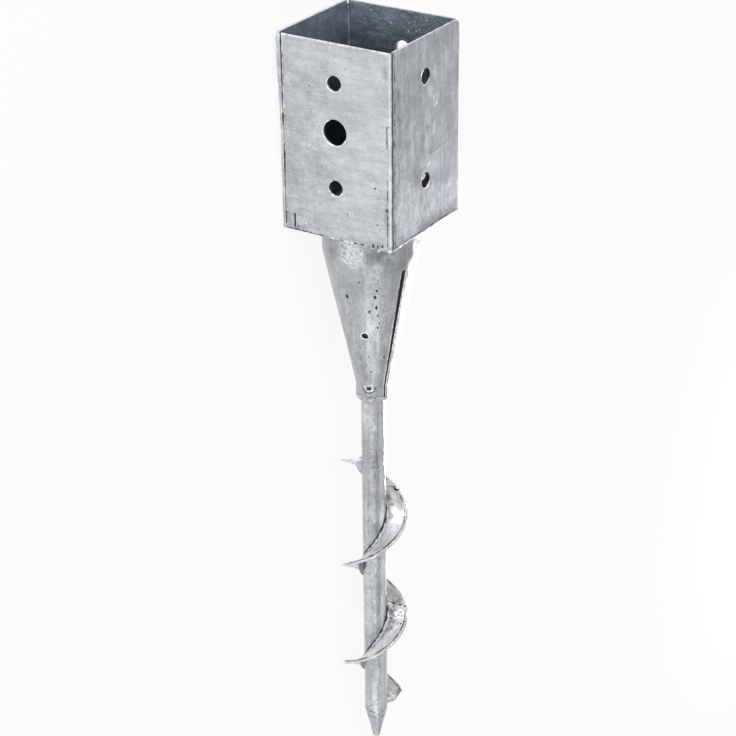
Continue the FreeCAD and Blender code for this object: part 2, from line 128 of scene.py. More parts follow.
# The screw's own frame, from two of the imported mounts
mounts = {m["name"]: m for m in frame["record"]["mounts"]}
low_hole = Vector(mounts["fixing_bore_low"]["pos_m"])
high_hole = Vector(mounts["fixing_bore_high"]["pos_m"])
Z_AXIS = (high_hole - low_hole).normalized()
V_AXIS = Vector(mounts["fixing_bore_low"]["axis"]).normalized()
U_AXIS = V_AXIS.cross(Z_AXIS).normalized()
ORIGIN = low_hole - Z_AXIS * LOW_HOLE * MM
AXES = Matrix((U_AXIS, V_AXIS, Z_AXIS))


def direction(u, v, z):
    """A direction of the screw's frame, in the row frame."""
    return U_AXIS * u + V_AXIS * v + Z_AXIS * z


def place(u, v, z):
    """A point of the screw's frame, in the row frame."""
    return ORIGIN + direction(u, v, z) * MM


def polar(radius, degrees, z):
    angle = radians(degrees)
    return radius * cos(angle), radius * sin(angle), z


def around(count):
    """Evenly spaced angles of a full turn, in radians."""
    return [tau * k / count for k in range(count)]


def level(turn):
    """Height of the blades' middle plane at a turn."""
    return -(AUGER_START + LEAD * turn / 360.0)


def on_auger(radius, turn, rise=0.0):
    """A point at a turn of the auger, that much above the blades' middle plane."""
    return polar(radius, START_ANGLE - turn, level(turn) + rise)


def ripple(seed, x, y=0.0, z=0.0):
    """Smooth noise from about -1 to 1 at a point, different for each seed."""
    return noise.noise(Vector((x + seed * 17.3, y - seed * 5.1, z + seed * 9.7)))


# Materials, whose streaks run in one of these directions
ALONG_U = (0.16, 1.0, 1.0)
DOWN_FACE = (1.0, 1.0, 0.10)
ALONG_Z = (1.0, 1.0, 0.035)


def feed(made, inputs):
    """Gives a node's inputs, by name or number, a value or another node's output."""
    for name, value in inputs.items():
        if isinstance(value, bpy.types.NodeSocket):
            made.id_data.links.new(value, made.inputs[name])
        else:
            made.inputs[name].default_value = value


def node(near, kind, inputs=None, **settings):
    """A new node in a tree; near is the tree or a socket in it."""
    made = near.id_data.nodes.new("ShaderNode" + kind)
    for name, value in settings.items():
        setattr(made, name, value)
    feed(made, inputs or {})
    return made


def calculate(operation, first, second, clamp=False):
    near = first if isinstance(first, bpy.types.NodeSocket) else second
    return node(near, "Math", {0: first, 1: second}, operation=operation, use_clamp=clamp).outputs[0]


def product(first, *others):
    for other in others:
        first = calculate("MULTIPLY", first, other)
    return first


def vector(operation, *values):
    made = node(values[0], "VectorMath", dict(enumerate(values)), operation=operation)
    return made.outputs["Value" if operation in ("LENGTH", "DOT_PRODUCT") else "Vector"]


def scaled(value, factor):
    return node(factor, "VectorMath", {0: value, "Scale": factor}, operation="SCALE").outputs[0]


def own_coordinates(tree):
    """Place in the screw's frame, in millimetres, and the surface's normal in that frame."""
    turn = AXES.to_euler()
    spot = node(tree, "TexCoord").outputs["Object"]
    facing = node(tree, "NewGeometry").outputs["Normal"]
    places = node(tree, "Mapping", {"Vector": spot, "Location": -(AXES @ ORIGIN) / MM, "Rotation": turn,
                                    "Scale": (1 / MM,) * 3}, vector_type="POINT")
    normals = node(tree, "Mapping", {"Vector": facing, "Rotation": turn}, vector_type="VECTOR")
    return places.outputs[0], normals.outputs[0]


def noise_value(where, scale, detail=4.0, rough=0.55):
    inputs = {"Vector": where, "Scale": scale, "Detail": detail, "Roughness": rough}
    return node(where, "TexNoise", inputs).outputs["Fac"]


def spots(where, spacing, size, share):
    """1 in small round spots: one in each cell of that spacing, kept for a share of the cells."""
    inputs = {"Vector": where, "Scale": 1 / spacing, "Randomness": 1.0}
    cells = node(where, "TexVoronoi", inputs, feature="F1")
    parts = node(where, "SeparateColor", {0: cells.outputs["Color"]})
    chosen = calculate("LESS_THAN", parts.outputs[0], share)
    radius = product(parts.outputs[1], size / spacing)
    inside = calculate("SUBTRACT", radius, cells.outputs["Distance"])
    edge = calculate("MULTIPLY", inside, spacing / size * 3, clamp=True)
    return product(edge, chosen)


def steps(value, low, high, dark, bright):
    """A value between low and high, spread from dark to bright."""
    inputs = {"Value": value, "From Min": low, "From Max": high, "To Min": dark, "To Max": bright}
    return node(value, "MapRange", inputs, clamp=True).outputs[0]


def tone_patch(where, fray, spot, sizes, factor):
    """A darker or brighter patch round a place, whose edge the noise in fray makes ragged; used for stains
    and for painted light and shade.
    """
    away = vector("SUBTRACT", where, spot)
    far = vector("LENGTH", vector("MULTIPLY", away, tuple(1 / size for size in sizes)))
    ragged = product(calculate("SUBTRACT", fray, 0.5), 2.2)
    return steps(calculate("ADD", far, ragged), 0.3, 1.1, factor, 1.0)


def bore_shade(where, height):
    """The shade inside a fixing hole of the right wall."""
    far = vector("LENGTH", vector("MULTIPLY_ADD", where, (0, 1, 1), (0, 0, -height)))
    return steps(far, FIXING_RADIUS + 0.1, FIXING_RADIUS + 0.3, 0.1, 1.0)


def tone(source, spread, amount):
    """A factor round 1 from a noise value; a small spread gives hard patches."""
    return steps(source, 0.5 - spread, 0.5 + spread, 1.0 - amount, 1.0 + amount)


def dark_specks(where, share):
    """1 in pores and pits, at places that a noise shakes out of line."""
    stir = node(where, "TexNoise", {"Vector": where, "Scale": 0.7}).outputs["Color"]
    shaken = vector("MULTIPLY_ADD", stir, (1.6, 1.6, 1.6), where)
    pores = spots(shaken, 7.0, 0.9, share)
    pits = spots(shaken, 3.1, 0.42, share)
    return calculate("MAXIMUM", pores, pits)


def crevice_shade(tree, reach, dirt_and_shade):
    """Painted shade: a factor below 1 in corners that lie within reach of another surface."""
    shade = node(tree, "AmbientOcclusion", {"Distance": reach * MM}, samples=8)
    return steps(shade.outputs["AO"], 0.25, 0.85, 1.0 - dirt_and_shade, 1.0)


def worn_and_highlit_edges(where, amount):
    """A factor above 1 on edges, where a rounded normal turns away from the true one: partly wear, partly a
    painted highlight.
    """
    rounded = node(where, "Bevel", {"Radius": 0.8 * MM}, samples=6).outputs[0]
    true = node(where, "NewGeometry").outputs["Normal"]
    edge = steps(vector("DOT_PRODUCT", rounded, true), 0.90, 0.99, 1.0, 0.0)
    broken = steps(noise_value(where, 0.35, 3.0), 0.38, 0.55, 0.3, 1.0)
    return calculate("ADD", product(edge, broken, amount), 1.0)


def painted_inside_shade(where, normal, colour, tint):
    """The colour, with painted shade on faces that look at the socket's axis, darker further down."""
    outward = vector("DOT_PRODUCT", vector("MULTIPLY", where, (1 / INNER, 1 / INNER, 0)), normal)
    inner = steps(outward, -0.6, -0.4, 1.0, 0.0)
    height = node(where, "SeparateXYZ", {0: where}).outputs["Z"]
    shaded = vector("MULTIPLY", scaled(colour, steps(height, 60.0, 145.0, 0.40, 1.55)), tint)
    return node(where, "Mix", {"Factor": inner, 4: colour, 5: shaded}, data_type="VECTOR").outputs[1]


def zinc_bump(where, dark, grain):
    """The normal of grainy zinc that sinks at dark specks."""
    grains = product(noise_value(where, 0.8, 5.0, 0.6), grain)
    sunk = calculate("SUBTRACT", grains, product(dark, 0.8))
    swell = product(noise_value(where, 0.13, 3.0), grain * 2)
    height = calculate("ADD", sunk, swell)
    return node(where, "Bump", {"Height": height, "Strength": 0.4, "Distance": 0.5 * MM}).outputs[0]


def zinc(name, tint, roughness, streaks, mottling, grain, specks, grain_run=ALONG_Z, inside=None,
         edge_wear_and_sheen=0.35, dirt_and_shade=0.45, reach=4.5, stains_and_shading=(), bores=()):
    """Hot-dip zinc: streaks, mottling, grain, dark specks, bright edges that are partly wear and partly a
    painted highlight, and painted shade in crevices.
    """
    material = bpy.data.materials.new(name)
    material.use_nodes = True
    tree = material.node_tree
    where, normal = own_coordinates(tree)
    long = node(tree, "Mapping", {"Vector": where, "Scale": grain_run}, vector_type="POINT").outputs[0]
    mottled = noise_value(where, 0.05, 6.0, 0.65)
    patches = noise_value(where, 0.22, 4.0, 0.6)
    dark = dark_specks(where, specks)
    factors = [tone(noise_value(long, 0.30, 3.0), 0.14, streaks),
               tone(mottled, 0.14, mottling),
               tone(noise_value(long, 1.3, 2.0), 0.18, streaks * 0.8),
               tone(patches, 0.12, mottling * 0.5),
               tone(noise_value(where, 1.1, 3.0, 0.7), 0.18, grain * 0.07)]
    # Stains, and patches of painted light and shade, as each material lists them
    factors += [tone_patch(where, patches, *one) for one in stains_and_shading]
    factors += [bore_shade(where, height) for height in bores]
    # Dark specks, painted shade in crevices, and bright edges that are partly wear and partly a painted
    # highlight
    factors += [calculate("SUBTRACT", 1.0, product(dark, 0.8)),
                crevice_shade(tree, reach, dirt_and_shade),
                worn_and_highlit_edges(where, edge_wear_and_sheen)]
    colour = scaled(tint, product(*factors))
    # Painted shade inside the socket
    if inside:
        colour = painted_inside_shade(where, normal, colour, inside)
    rough = steps(mottled, 0.3, 0.7, roughness - 0.06, roughness + 0.08)
    feed(tree.nodes["Principled BSDF"], {
        "Metallic": 0.92, "Base Color": colour, "Normal": zinc_bump(where, dark, grain),
        "Roughness": calculate("ADD", rough, product(dark, 0.3))})
    return material


def plain_material(name, colour, roughness, metallic):
    material = bpy.data.materials.new(name)
    material.use_nodes = True
    feed(material.node_tree.nodes["Principled BSDF"],
         {"Base Color": (*colour, 1), "Roughness": roughness, "Metallic": metallic})
    return material


# Tint of the painted shade inside the socket
INSIDE_SHADE_TINT = (0.50, 0.55, 0.60)  # the inside's tint

# Stains and painted light and shade: a place, its reach along u, v and z, and how much darker or brighter it
# is
# On the front wall: dark patches near its sides, a painted shadow line along its foot, painted light over
# its top and right, and painted shade over its left side
FRONT_STAINS_AND_SHADING = [
    ((-45, -48, 6), (6, 6, 12), 0.72), ((43, -48, 135), (3, 6, 5), 0.7),
    ((43.5, -48, 28), (2.5, 6, 16), 0.75), ((30, -48, 3), (22, 6, 4), 0.75),
    ((0, -48, 133), (44, 6, 12), 1.09), ((26, -48, 75), (26, 6, 60), 1.09),
    ((-44, -48, 60), (34, 8, 90), 0.88)]
SIDE_STAINS = [
    ((48, -38, 75), (6, 7, 80), 0.80), ((48, 8, 92), (6, 12, 28), 1.07), ((48, 30, 60), (6, 16, 60), 1.05),
    ((48, -24, 98), (6, 4, 10), 0.82), ((48, 7, 108), (4, 4, 7), 1.4), ((48, 14, 97), (4, 5, 6), 1.35),
    ((48, 3, 88), (4, 4, 7), 1.4), ((48, 10, 77), (4, 4, 6), 1.35), ((48, 1, 67), (4, 3, 8), 1.35),
    ((48, 5, 53), (4, 4, 6), 1.3), ((48, -2, 44), (4, 3, 5), 1.25), ((48, 34, 26), (4, 4, 4), 1.25),
    ((48, 13, 120), (4, 3, 8), 1.12)]
# On the cone: painted shade under the socket, a painted highlight on the crumpled patch, painted highlight
# bands down its side, and a darker patch low on the cone
TUBE_SHADE_AND_HIGHLIGHTS = [
    (polar(35, -50, -13), (9, 9, 7), 0.66), (polar(34, -36, -22), (7, 7, 9), 0.74),
    (polar(36, -81, -13), (12, 12, 13), 1.75), (polar(36, -110, -14), (9, 9, 12), 0.78),
    (polar(26, -66, -80), (6, 6, 70), 1.2), (polar(28, -36, -78), (9, 9, 62), 1.3),
    (polar(24, -8, -80), (10, 10, 90), 1.35), (polar(18, -85, -118), (6, 6, 20), 0.85)]
# On the bar: a painted highlight down its length, a painted darker band beside it, and two darker patches
BAR_HIGHLIGHT_AND_SHADE = [
    (polar(BAR_RADIUS, -14, -300), (5, 5, 240), 1.45), (polar(BAR_RADIUS, -40, -300), (2.5, 2.5, 240), 0.85),
    (polar(BAR_RADIUS, -66, -205), (6, 6, 8), 0.85), (polar(BAR_RADIUS, -60, -330), (6, 6, 25), 0.85)]
# On the blades: painted shade near their roots, beside the joints and at the lower end
BLADE_SHADE = [
    (on_auger(12, 150), (6, 6, 10), 0.28), (on_auger(11, 178), (6, 6, 11), 0.4),
    (on_auger(12, 545), (7, 7, 10), 0.28), (on_auger(18, 522), (6, 6, 4), 0.55),
    (on_auger(11, 578), (6, 6, 10), 0.42), (on_auger(23, 870), (4, 4, 4), 0.5),
    (on_auger(20, 560), (6, 6, 5), 0.8)]

FRONT_ZINC = zinc("front_zinc", (0.575, 0.595, 0.63), 0.37, 0.075, 0.11, 2.4, 0.08, ALONG_U, INSIDE_SHADE_TINT,
                  stains_and_shading=FRONT_STAINS_AND_SHADING)
SIDE_ZINC = zinc("side_zinc", (0.53, 0.55, 0.595), 0.37, 0.10, 0.17, 2.6, 0.07, DOWN_FACE, INSIDE_SHADE_TINT,
                 stains_and_shading=SIDE_STAINS, bores=(HIGH_HOLE, LOW_HOLE))
# Pale zinc of the runs, also used for pale painted glints on the crumpled patch
RUN_AND_GLINT_ZINC = zinc("run_and_glint_zinc", (0.68, 0.70, 0.74), 0.36, 0.08, 0.12, 1.2, 0.0)
TUBE_ZINC = zinc("tube_zinc", (0.465, 0.48, 0.50), 0.33, 0.10, 0.12, 2.0, 0.15, stains_and_shading=TUBE_SHADE_AND_HIGHLIGHTS)
BAR_ZINC = zinc("bar_zinc", (0.53, 0.545, 0.565), 0.31, 0.12, 0.18, 3.0, 0.25, stains_and_shading=BAR_HIGHLIGHT_AND_SHADE)
BLADE_ZINC = zinc("blade_zinc", (0.70, 0.71, 0.72), 0.30, 0.06, 0.20, 2.0, 0.16, edge_wear_and_sheen=0.5,
                  dirt_and_shade=0.8, reach=9.0, stains_and_shading=BLADE_SHADE)
WELD_ZINC = zinc("weld_zinc", (0.50, 0.52, 0.55), 0.34, 0.04, 0.22, 1.8, 0.22, dirt_and_shade=0.7)
# Darkened weld for the beads under the blades, as painted shade
SHADED_WELD = zinc("shaded_weld", (0.24, 0.25, 0.27), 0.42, 0.04, 0.25, 1.8, 0.2, dirt_and_shade=0.8)
FILL_ZINC = zinc("fill_zinc", (0.62, 0.64, 0.67), 0.36, 0.08, 0.25, 1.8, 0.12, edge_wear_and_sheen=0.4, dirt_and_shade=0.35)
EYE_ZINC = zinc("eye_zinc", (0.72, 0.74, 0.76), 0.26, 0.04, 0.2, 1.8, 0.1, edge_wear_and_sheen=0.5, dirt_and_shade=0.75)
# Bright zinc for edges, nubs and glints, whose brightness is partly a painted highlight
EDGE_ZINC_AND_HIGHLIGHT = zinc("edge_zinc_and_highlight", (0.86, 0.87, 0.88), 0.28, 0.03, 0.14, 0.8, 0.10, edge_wear_and_sheen=0.0, dirt_and_shade=0.4)
# Near black: pores, dark specks and lines, and lines of painted shade in seams
PORE_AND_SHADE = plain_material("pore_and_shade", (0.025, 0.028, 0.032), 0.75, 0.0)
SHADE = plain_material("shade", (0.07, 0.075, 0.085), 0.5, 0.2)


# Pieces
def mesh_of(name, shape):
    """A mesh of points in the screw's frame and faces between them."""
    points, faces = shape
    mesh = bpy.data.meshes.new(name)
    mesh.from_pydata([place(*point) for point in points], [], faces)
    return mesh


def face_outward(mesh):
    shape = bmesh.new()
    shape.from_mesh(mesh)
    bmesh.ops.recalc_face_normals(shape, faces=shape.faces)
    shape.to_mesh(mesh)
    shape.free()


def add_object(name, data):
    made = bpy.data.objects.new(name, data)
    scene.collection.objects.link(made)
    return made


def dress(mesh, material):
    """Smooth shading and one material."""
    mesh.polygons.foreach_set("use_smooth", [True] * len(mesh.polygons))
    mesh.materials.clear()
    mesh.materials.append(material)


def new_piece(name, shape, material, replaces=(), sharp_angle=60):
    """A closed mesh as a piece that rides on the part."""
    mesh = mesh_of(name, shape)
    mesh.validate()
    finish_piece(name, mesh, material, replaces, sharp_angle)


def finish_piece(name, mesh, material, replaces, sharp_angle):
    face_outward(mesh)
    dress(mesh, material)
    mesh.set_sharp_from_angle(angle=radians(sharp_angle))
    piece = add_object(name, mesh)
    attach(piece, "root")
    if replaces:
        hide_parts(*replaces)
    return piece


def skin(rings, closed=False):
    """Faces over rings of equally many points; capped at both ends unless closed in a loop."""
    count = len(rings[0])
    points = [point for ring in rings for point in ring]
    faces = []
    rows = len(rings) if closed else len(rings) - 1
    for row in range(rows):
        here, there = row * count, (row + 1) % len(rings) * count
        for k in range(count):
            after = (k + 1) % count
            faces.append((here + k, here + after, there + after, there + k))
    if not closed:
        faces.append(tuple(range(count))[::-1])
        faces.append(tuple((len(rings) - 1) * count + k for k in range(count)))
    return points, faces


def bent(points, radius, pieces=6):
    """A polyline in plane coordinates with its inner corners rounded."""
    out = [points[0]]
    for before, corner, after in zip(points, points[1:], points[2:]):
        back = (Vector(before) - Vector(corner)).normalized()
        ahead = (Vector(after) - Vector(corner)).normalized()
        half = back.angle(ahead) / 2
        reach = radius / math.tan(half)
        first = Vector(corner) + back * reach
        last = Vector(corner) + ahead * reach
        centre = Vector(corner) + (back + ahead).normalized() * radius / sin(half)
        for k in range(pieces + 1):
            share = k / pieces
            spoke = (first - centre).lerp(last - centre, share).normalized() * radius
            out.append(tuple(centre + spoke))
    out.append(points[-1])
    return out


def finer(points, step):
    """A polyline with points added so that none are further apart than the step."""
    out = [points[0]]
    for before, after in zip(points, points[1:]):
        parts = max(1, math.ceil((Vector(after) - Vector(before)).length / step))
        out += [tuple(Vector(before).lerp(Vector(after), k / parts)) for k in range(1, parts + 1)]
    return out


def turned(profile, segments, shift):
    """Rings round the axis for a profile of radius and depth; shift moves each point outward."""
    turns = [360.0 * k / segments for k in range(segments)]
    return [[polar(radius + shift(degrees, depth), degrees, -depth) for degrees in turns]
            for radius, depth in profile]


def modify(piece, kind, **settings):
    """Adds a modifier to a piece."""
    made = piece.modifiers.new(kind.lower(), kind)
    for name, value in settings.items():
        setattr(made, name, value)


def cut_away(mesh, cutters):
    """The mesh less the cutters, which are deleted."""
    work = add_object("work", mesh)
    for cutter in cutters:
        modify(work, "BOOLEAN", operation="DIFFERENCE", solver="EXACT", object=cutter)
    bpy.context.view_layer.update()
    result = bpy.data.meshes.new_from_object(work.evaluated_get(bpy.context.evaluated_depsgraph_get()))
    for done in (work, *cutters):
        bpy.data.objects.remove(done)
    return result


def prism(degrees, outline):
    """A cutter that runs outward from the axis, at a place round it; outline is across, depth."""
    angle = radians(degrees)
    rings = [[(cos(angle) * reach - sin(angle) * x, sin(angle) * reach + cos(angle) * x, -depth)
              for x, depth in outline] for reach in (CUT_START, CUT_END)]
    mesh = mesh_of("cutter", skin(rings))
    face_outward(mesh)
    return add_object("cutter", mesh)


# The socket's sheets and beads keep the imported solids
def sheet_piece(name, material, edge=EDGE_ROUND):
    """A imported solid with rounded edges."""
    piece = frame["nodes"][name]
    mesh = piece.data
    custom = mesh.attributes.get("custom_normal")
    if custom:
        mesh.attributes.remove(custom)
    dress(mesh, material)
    modify(piece, "WELD", merge_threshold=0.002 * MM)
    modify(piece, "BEVEL", width=edge * MM, segments=3, limit_method="ANGLE", angle_limit=radians(40))
    modify(piece, "WEIGHTED_NORMAL", weight=100)


# The cone
SOFT_DENTS = ((-57, 14, 6, 9, 1.3), (-36, 12, 5, 12, 1.1), (-108, 16, 12, 10, 0.6))  # as dent takes them
CRUMPLE = (-80, 12, 11, 8, 1.6)
WAVES_FADE = 40.0  # over this depth above the collar the tube's waves die out
CUT_START = 0.5  # the cutters' reach outward from the axis
CUT_END = TUBE_RADIUS + 5


def dent(degrees, depth, at_angle, at_depth, wide, high, amount):
    """How deep a soft dent is at a place on the cone."""
    across = (degrees - at_angle + 180) % 360 - 180
    far = (across / wide) ** 2 + ((depth - at_depth) / high) ** 2
    return amount * math.exp(-far)


def cone_shift(degrees, depth):
    """How far the tube's outside stands out of a true cone."""
    angle = radians(degrees)
    x, y = cos(angle) * 3, sin(angle) * 3
    fade = min(1.0, max(0.0, (TAPER_END - depth) / WAVES_FADE))
    shift = ripple(1, x, y, depth / 60) * 0.35 * fade + ripple(2, x * 4, y * 4, depth / 14) * 0.08
    shift -= sum(dent(degrees, depth, *one) for one in SOFT_DENTS)
    folds = 0.5 + 0.55 * ripple(3, degrees / 5, depth / 3.2) + 0.3 * ripple(4, degrees / 2.4, depth / 1.7)
    return shift + dent(degrees, depth, *CRUMPLE) * folds


def cone_body():
    """The swaged tube, round and uncut."""
    bore = BAR_RADIUS + FIT_GAP
    inside = TUBE_RADIUS - TUBE_WALL
    outer = bent([(TUBE_RADIUS, 0), (TUBE_RADIUS, TUBE_STRAIGHT), (COLLAR_RADIUS, TAPER_END),
                  (COLLAR_RADIUS, COLLAR_END)], BEND_RADIUS)
    inner = bent([(inside, 0), (inside, TUBE_STRAIGHT), (bore, TAPER_END - TUBE_WALL), (bore, COLLAR_END)],
                 BEND_RADIUS)
    outer = finer(outer, 1.4)
    outer[-1] = (COLLAR_RADIUS, COLLAR_END - END_ROUND)
    lip = [(COLLAR_RADIUS - END_ROUND, COLLAR_END)]
    profile = outer + lip + finer(inner, 6.0)[::-1]
    mesh = mesh_of("cone_body", skin(turned(profile, 216, cone_shift), closed=True))
    face_outward(mesh)
    return mesh


def brighten_slot(piece):
    """The slot's cut sides get the bright zinc of edges, a painted highlight."""
    piece.data.materials.append(EDGE_ZINC_AND_HIGHLIGHT)
    angle = radians(SLOT_ANGLE)
    across = direction(-sin(angle), cos(angle), 0)
    out = direction(cos(angle), sin(angle), 0)
    for face in piece.data.polygons:
        spot = face.center - ORIGIN
        beside_slot = abs(spot.dot(across)) < SLOT_WIDTH_TOP * MM and spot.dot(out) > 0
        if beside_slot and abs(face.normal.dot(across)) > 0.97:
            face.material_index = 1


def cone():
    wide = SLOT_WIDTH_TOP / 2
    narrow = SLOT_WIDTH_END / 2
    below = COLLAR_END + 5
    slot = prism(SLOT_ANGLE, [(-wide, SLOT_TOP), (wide, SLOT_TOP), (narrow, TAPER_END), (narrow, below),
                              (-narrow, below), (-narrow, TAPER_END)])
    circle = [(VENT_RADIUS * cos(turn), VENT_DEPTH + VENT_RADIUS * sin(turn)) for turn in around(32)]
    mesh = cut_away(cone_body(), [slot, prism(VENT_ANGLE, circle)])
    brighten_slot(finish_piece("swaged_cone", mesh, TUBE_ZINC, ["cone"], 35))


def tube_radius(depth):
    """Outer radius of the swaged tube, without its bends."""
    if depth < TUBE_STRAIGHT:
        return TUBE_RADIUS
    share = (depth - TUBE_STRAIGHT) / (TAPER_END - TUBE_STRAIGHT)
    return max(COLLAR_RADIUS, TUBE_RADIUS + (COLLAR_RADIUS - TUBE_RADIUS) * share)


def ring_bead(name, node_name, section, segments, seed, ripple_length):
    """A lumpy weld bead round the axis."""
    root, top = section[0]
    rings = []
    for k in range(segments):
        degrees = 360.0 * k / segments
        angle = radians(degrees)
        swell = 1 + 0.25 * ripple(seed, cos(angle) * 4, sin(angle) * 4)
        swell += 0.07 * sin(tau * angle * root / ripple_length)
        rings.append([polar(root + (radius - root) * swell, degrees, -(top + (depth - top) * swell))
                      for radius, depth in section])
    new_piece(name, skin(rings, closed=True), WELD_ZINC, [node_name])


def bulge(inner, top, across, along, pieces=7):
    """The section of a full fillet weld: a quarter of an ellipse, with its corner at inner, top."""
    section = [(inner, top)]
    for k in range(pieces + 1):
        angle = math.pi / 2 * k / pieces
        section.append((inner + across * cos(angle), top + along * sin(angle)))
    return section


# The bar
def bar_shift(degrees, depth):
    angle = radians(degrees)
    x, y = cos(angle) * 2, sin(angle) * 2
    return ripple(5, x, y, depth / 30) * 0.12 + ripple(6, x * 3, y * 3, depth / 7) * 0.05


def bar():
    """The bar, with two turned rings on its point."""
    slope = (SHOULDER_RADIUS - TIP_RADIUS) / (POINT_END - SHOULDER)
    ring_radius = SHOULDER_RADIUS - slope * (POINT_RING - SHOULDER)
    profile = [(BAR_RADIUS - 0.8, BAR_TOP), (BAR_RADIUS, BAR_TOP + 0.8), (BAR_RADIUS, POINT_START),
               (SHOULDER_RADIUS, SHOULDER), (SHOULDER_RADIUS - 0.6, SHOULDER + 0.5),
               (SHOULDER_RADIUS - 0.35, SHOULDER + 1.0), (ring_radius, POINT_RING),
               (ring_radius - 0.6, POINT_RING + 0.5), (ring_radius - 0.5, POINT_RING + 1.0),
               (TIP_RADIUS + slope * TIP_ROUND, POINT_END - TIP_ROUND)]
    for k in range(1, 6):
        angle = math.pi / 2 * k / 5
        profile.append((TIP_RADIUS - TIP_ROUND + TIP_ROUND * cos(angle) + 0.2,
                        POINT_END - TIP_ROUND + TIP_ROUND * sin(angle)))
    shape = skin(turned(finer(profile, 2.0), 72, bar_shift))
    new_piece("bar", shape, BAR_ZINC, ["shaft"], 35)


# The auger
def line_angle(radius, root_angle, rim_angle, root, rim):
    """Turn at a radius on the straight line between two corners of a blade's end."""
    start = radians(root_angle)
    end = radians(rim_angle)
    first = Vector((root * cos(start), root * sin(start)))
    last = Vector((rim * cos(end), rim * sin(end)))
    low, high = 0.0, 1.0
    for _ in range(24):
        middle = (low + high) / 2
        if first.lerp(last, middle).length < radius:
            low = middle
        else:
            high = middle
    found = first.lerp(last, (low + high) / 2)
    return start + (math.atan2(found.y, found.x) - start + math.pi) % tau - math.pi


def blade_section():
    """Radius and height of a blade's section: flat faces and a rounded rim."""
    half = BLADE_THICKNESS / 2
    root = BAR_RADIUS - 0.4
    edge = 1.15
    across = 9

    def thin(radius):
        return half * (1 - 0.3 * ((radius - root) / (RIM_RADIUS - root)) ** 2)

    flat = [root + (RIM_RADIUS - edge - root) * k / across for k in range(across + 1)]
    section = [(radius, thin(radius)) for radius in flat]
    section.append((RIM_RADIUS - edge * 0.85, thin(RIM_RADIUS) + 0.18))
    section.append((RIM_RADIUS - edge * 0.4, thin(RIM_RADIUS) + 0.12))
    section += [(RIM_RADIUS, thin(RIM_RADIUS) * share) for share in (0.6, 0.2, -0.2, -0.6)]
    section.append((RIM_RADIUS - edge * 0.4, -thin(RIM_RADIUS) - 0.05))
    section += [(radius, -thin(radius)) for radius in flat[::-1]]
    return section


def blade(which, start, end, start_slant, end_slant, drop, seed):
    """One blade between two turns; its ends are slanted joints or the auger's own ends."""
    section = blade_section()
    root = BAR_RADIUS + FIT_GAP

    def first_turn(radius):
        if not start_slant:
            return radians(start)
        return line_angle(radius, start - JOINT_SLANT, start, root, RIM_RADIUS) + radians(1.0)

    def last_turn(radius):
        if end_slant:
            return line_angle(radius, end - JOINT_SLANT, end, root, RIM_RADIUS)
        if radius <= END_CUT_RADIUS:
            return radians(end)
        return line_angle(radius, end, end - END_SLANT, END_CUT_RADIUS, RIM_RADIUS)

    reaches = [min(max(radius, root), RIM_RADIUS) for radius, _ in section]
    ends = [(first_turn(reach), last_turn(reach)) for reach in reaches]
    parts = max(8, round((end - start) / 3))
    rings = []
    for k in range(parts + 1):
        ring = []
        for (radius, height), (first, last) in zip(section, ends):
            angle = first + (last - first) * k / parts
            turn = math.degrees(angle)
            share = (radius - root) / (RIM_RADIUS - root)
            outer = max(0.0, share)
            wave = ripple(seed, cos(angle) * 2.2, sin(angle) * 2.2, turn / 90)
            rim = ripple(seed + 3, turn / 14)
            reach = radius + outer ** 3 * 0.35 * (rim - 0.5)
            keen = 1.0 if start_slant else 1 - 0.55 * share * max(0.0, 1 - turn / 30)
            rise = height * (1 + 0.1 * rim) * keen + wave * 0.5 * outer
            ring.append(on_auger(reach, turn, rise - drop))
        rings.append(ring)
    new_piece(f"auger_blade_{which}", skin(rings), BLADE_ZINC, [f"blade_{which}"], 50)


def root_bead(name, replaces, start, end, drop, seed, side=1, wide=BEAD_LEG + 0.4, tall=BEAD_LEG + 0.4,
              material=WELD_ZINC):
    """The lumpy weld along a blade's upper face (side 1) or lower face (side -1), on the bar."""
    root = BAR_RADIUS - 0.3
    base = (BLADE_THICKNESS / 2 - 0.3) * side - drop
    parts = round((end - start) / 1.5)
    corners = [math.pi / 2 * n / 6 for n in range(7)]
    rings = []
    for k in range(parts + 1):
        turn = start + (end - start) * k / parts
        lump = 1 + 0.35 * ripple(seed, turn / 16) + 0.10 * sin(radians(turn) * 22)
        grow = lump * min(1.0, (k + 1) / 4, (parts + 1 - k) / 4)
        rings.append([on_auger(root, turn, base)])
        for corner in corners:
            rise = side * tall * grow * sin(corner)
            rings[-1].append(on_auger(root + wide * grow * cos(corner), turn, base + rise))
    new_piece(name, skin(rings), material, replaces)


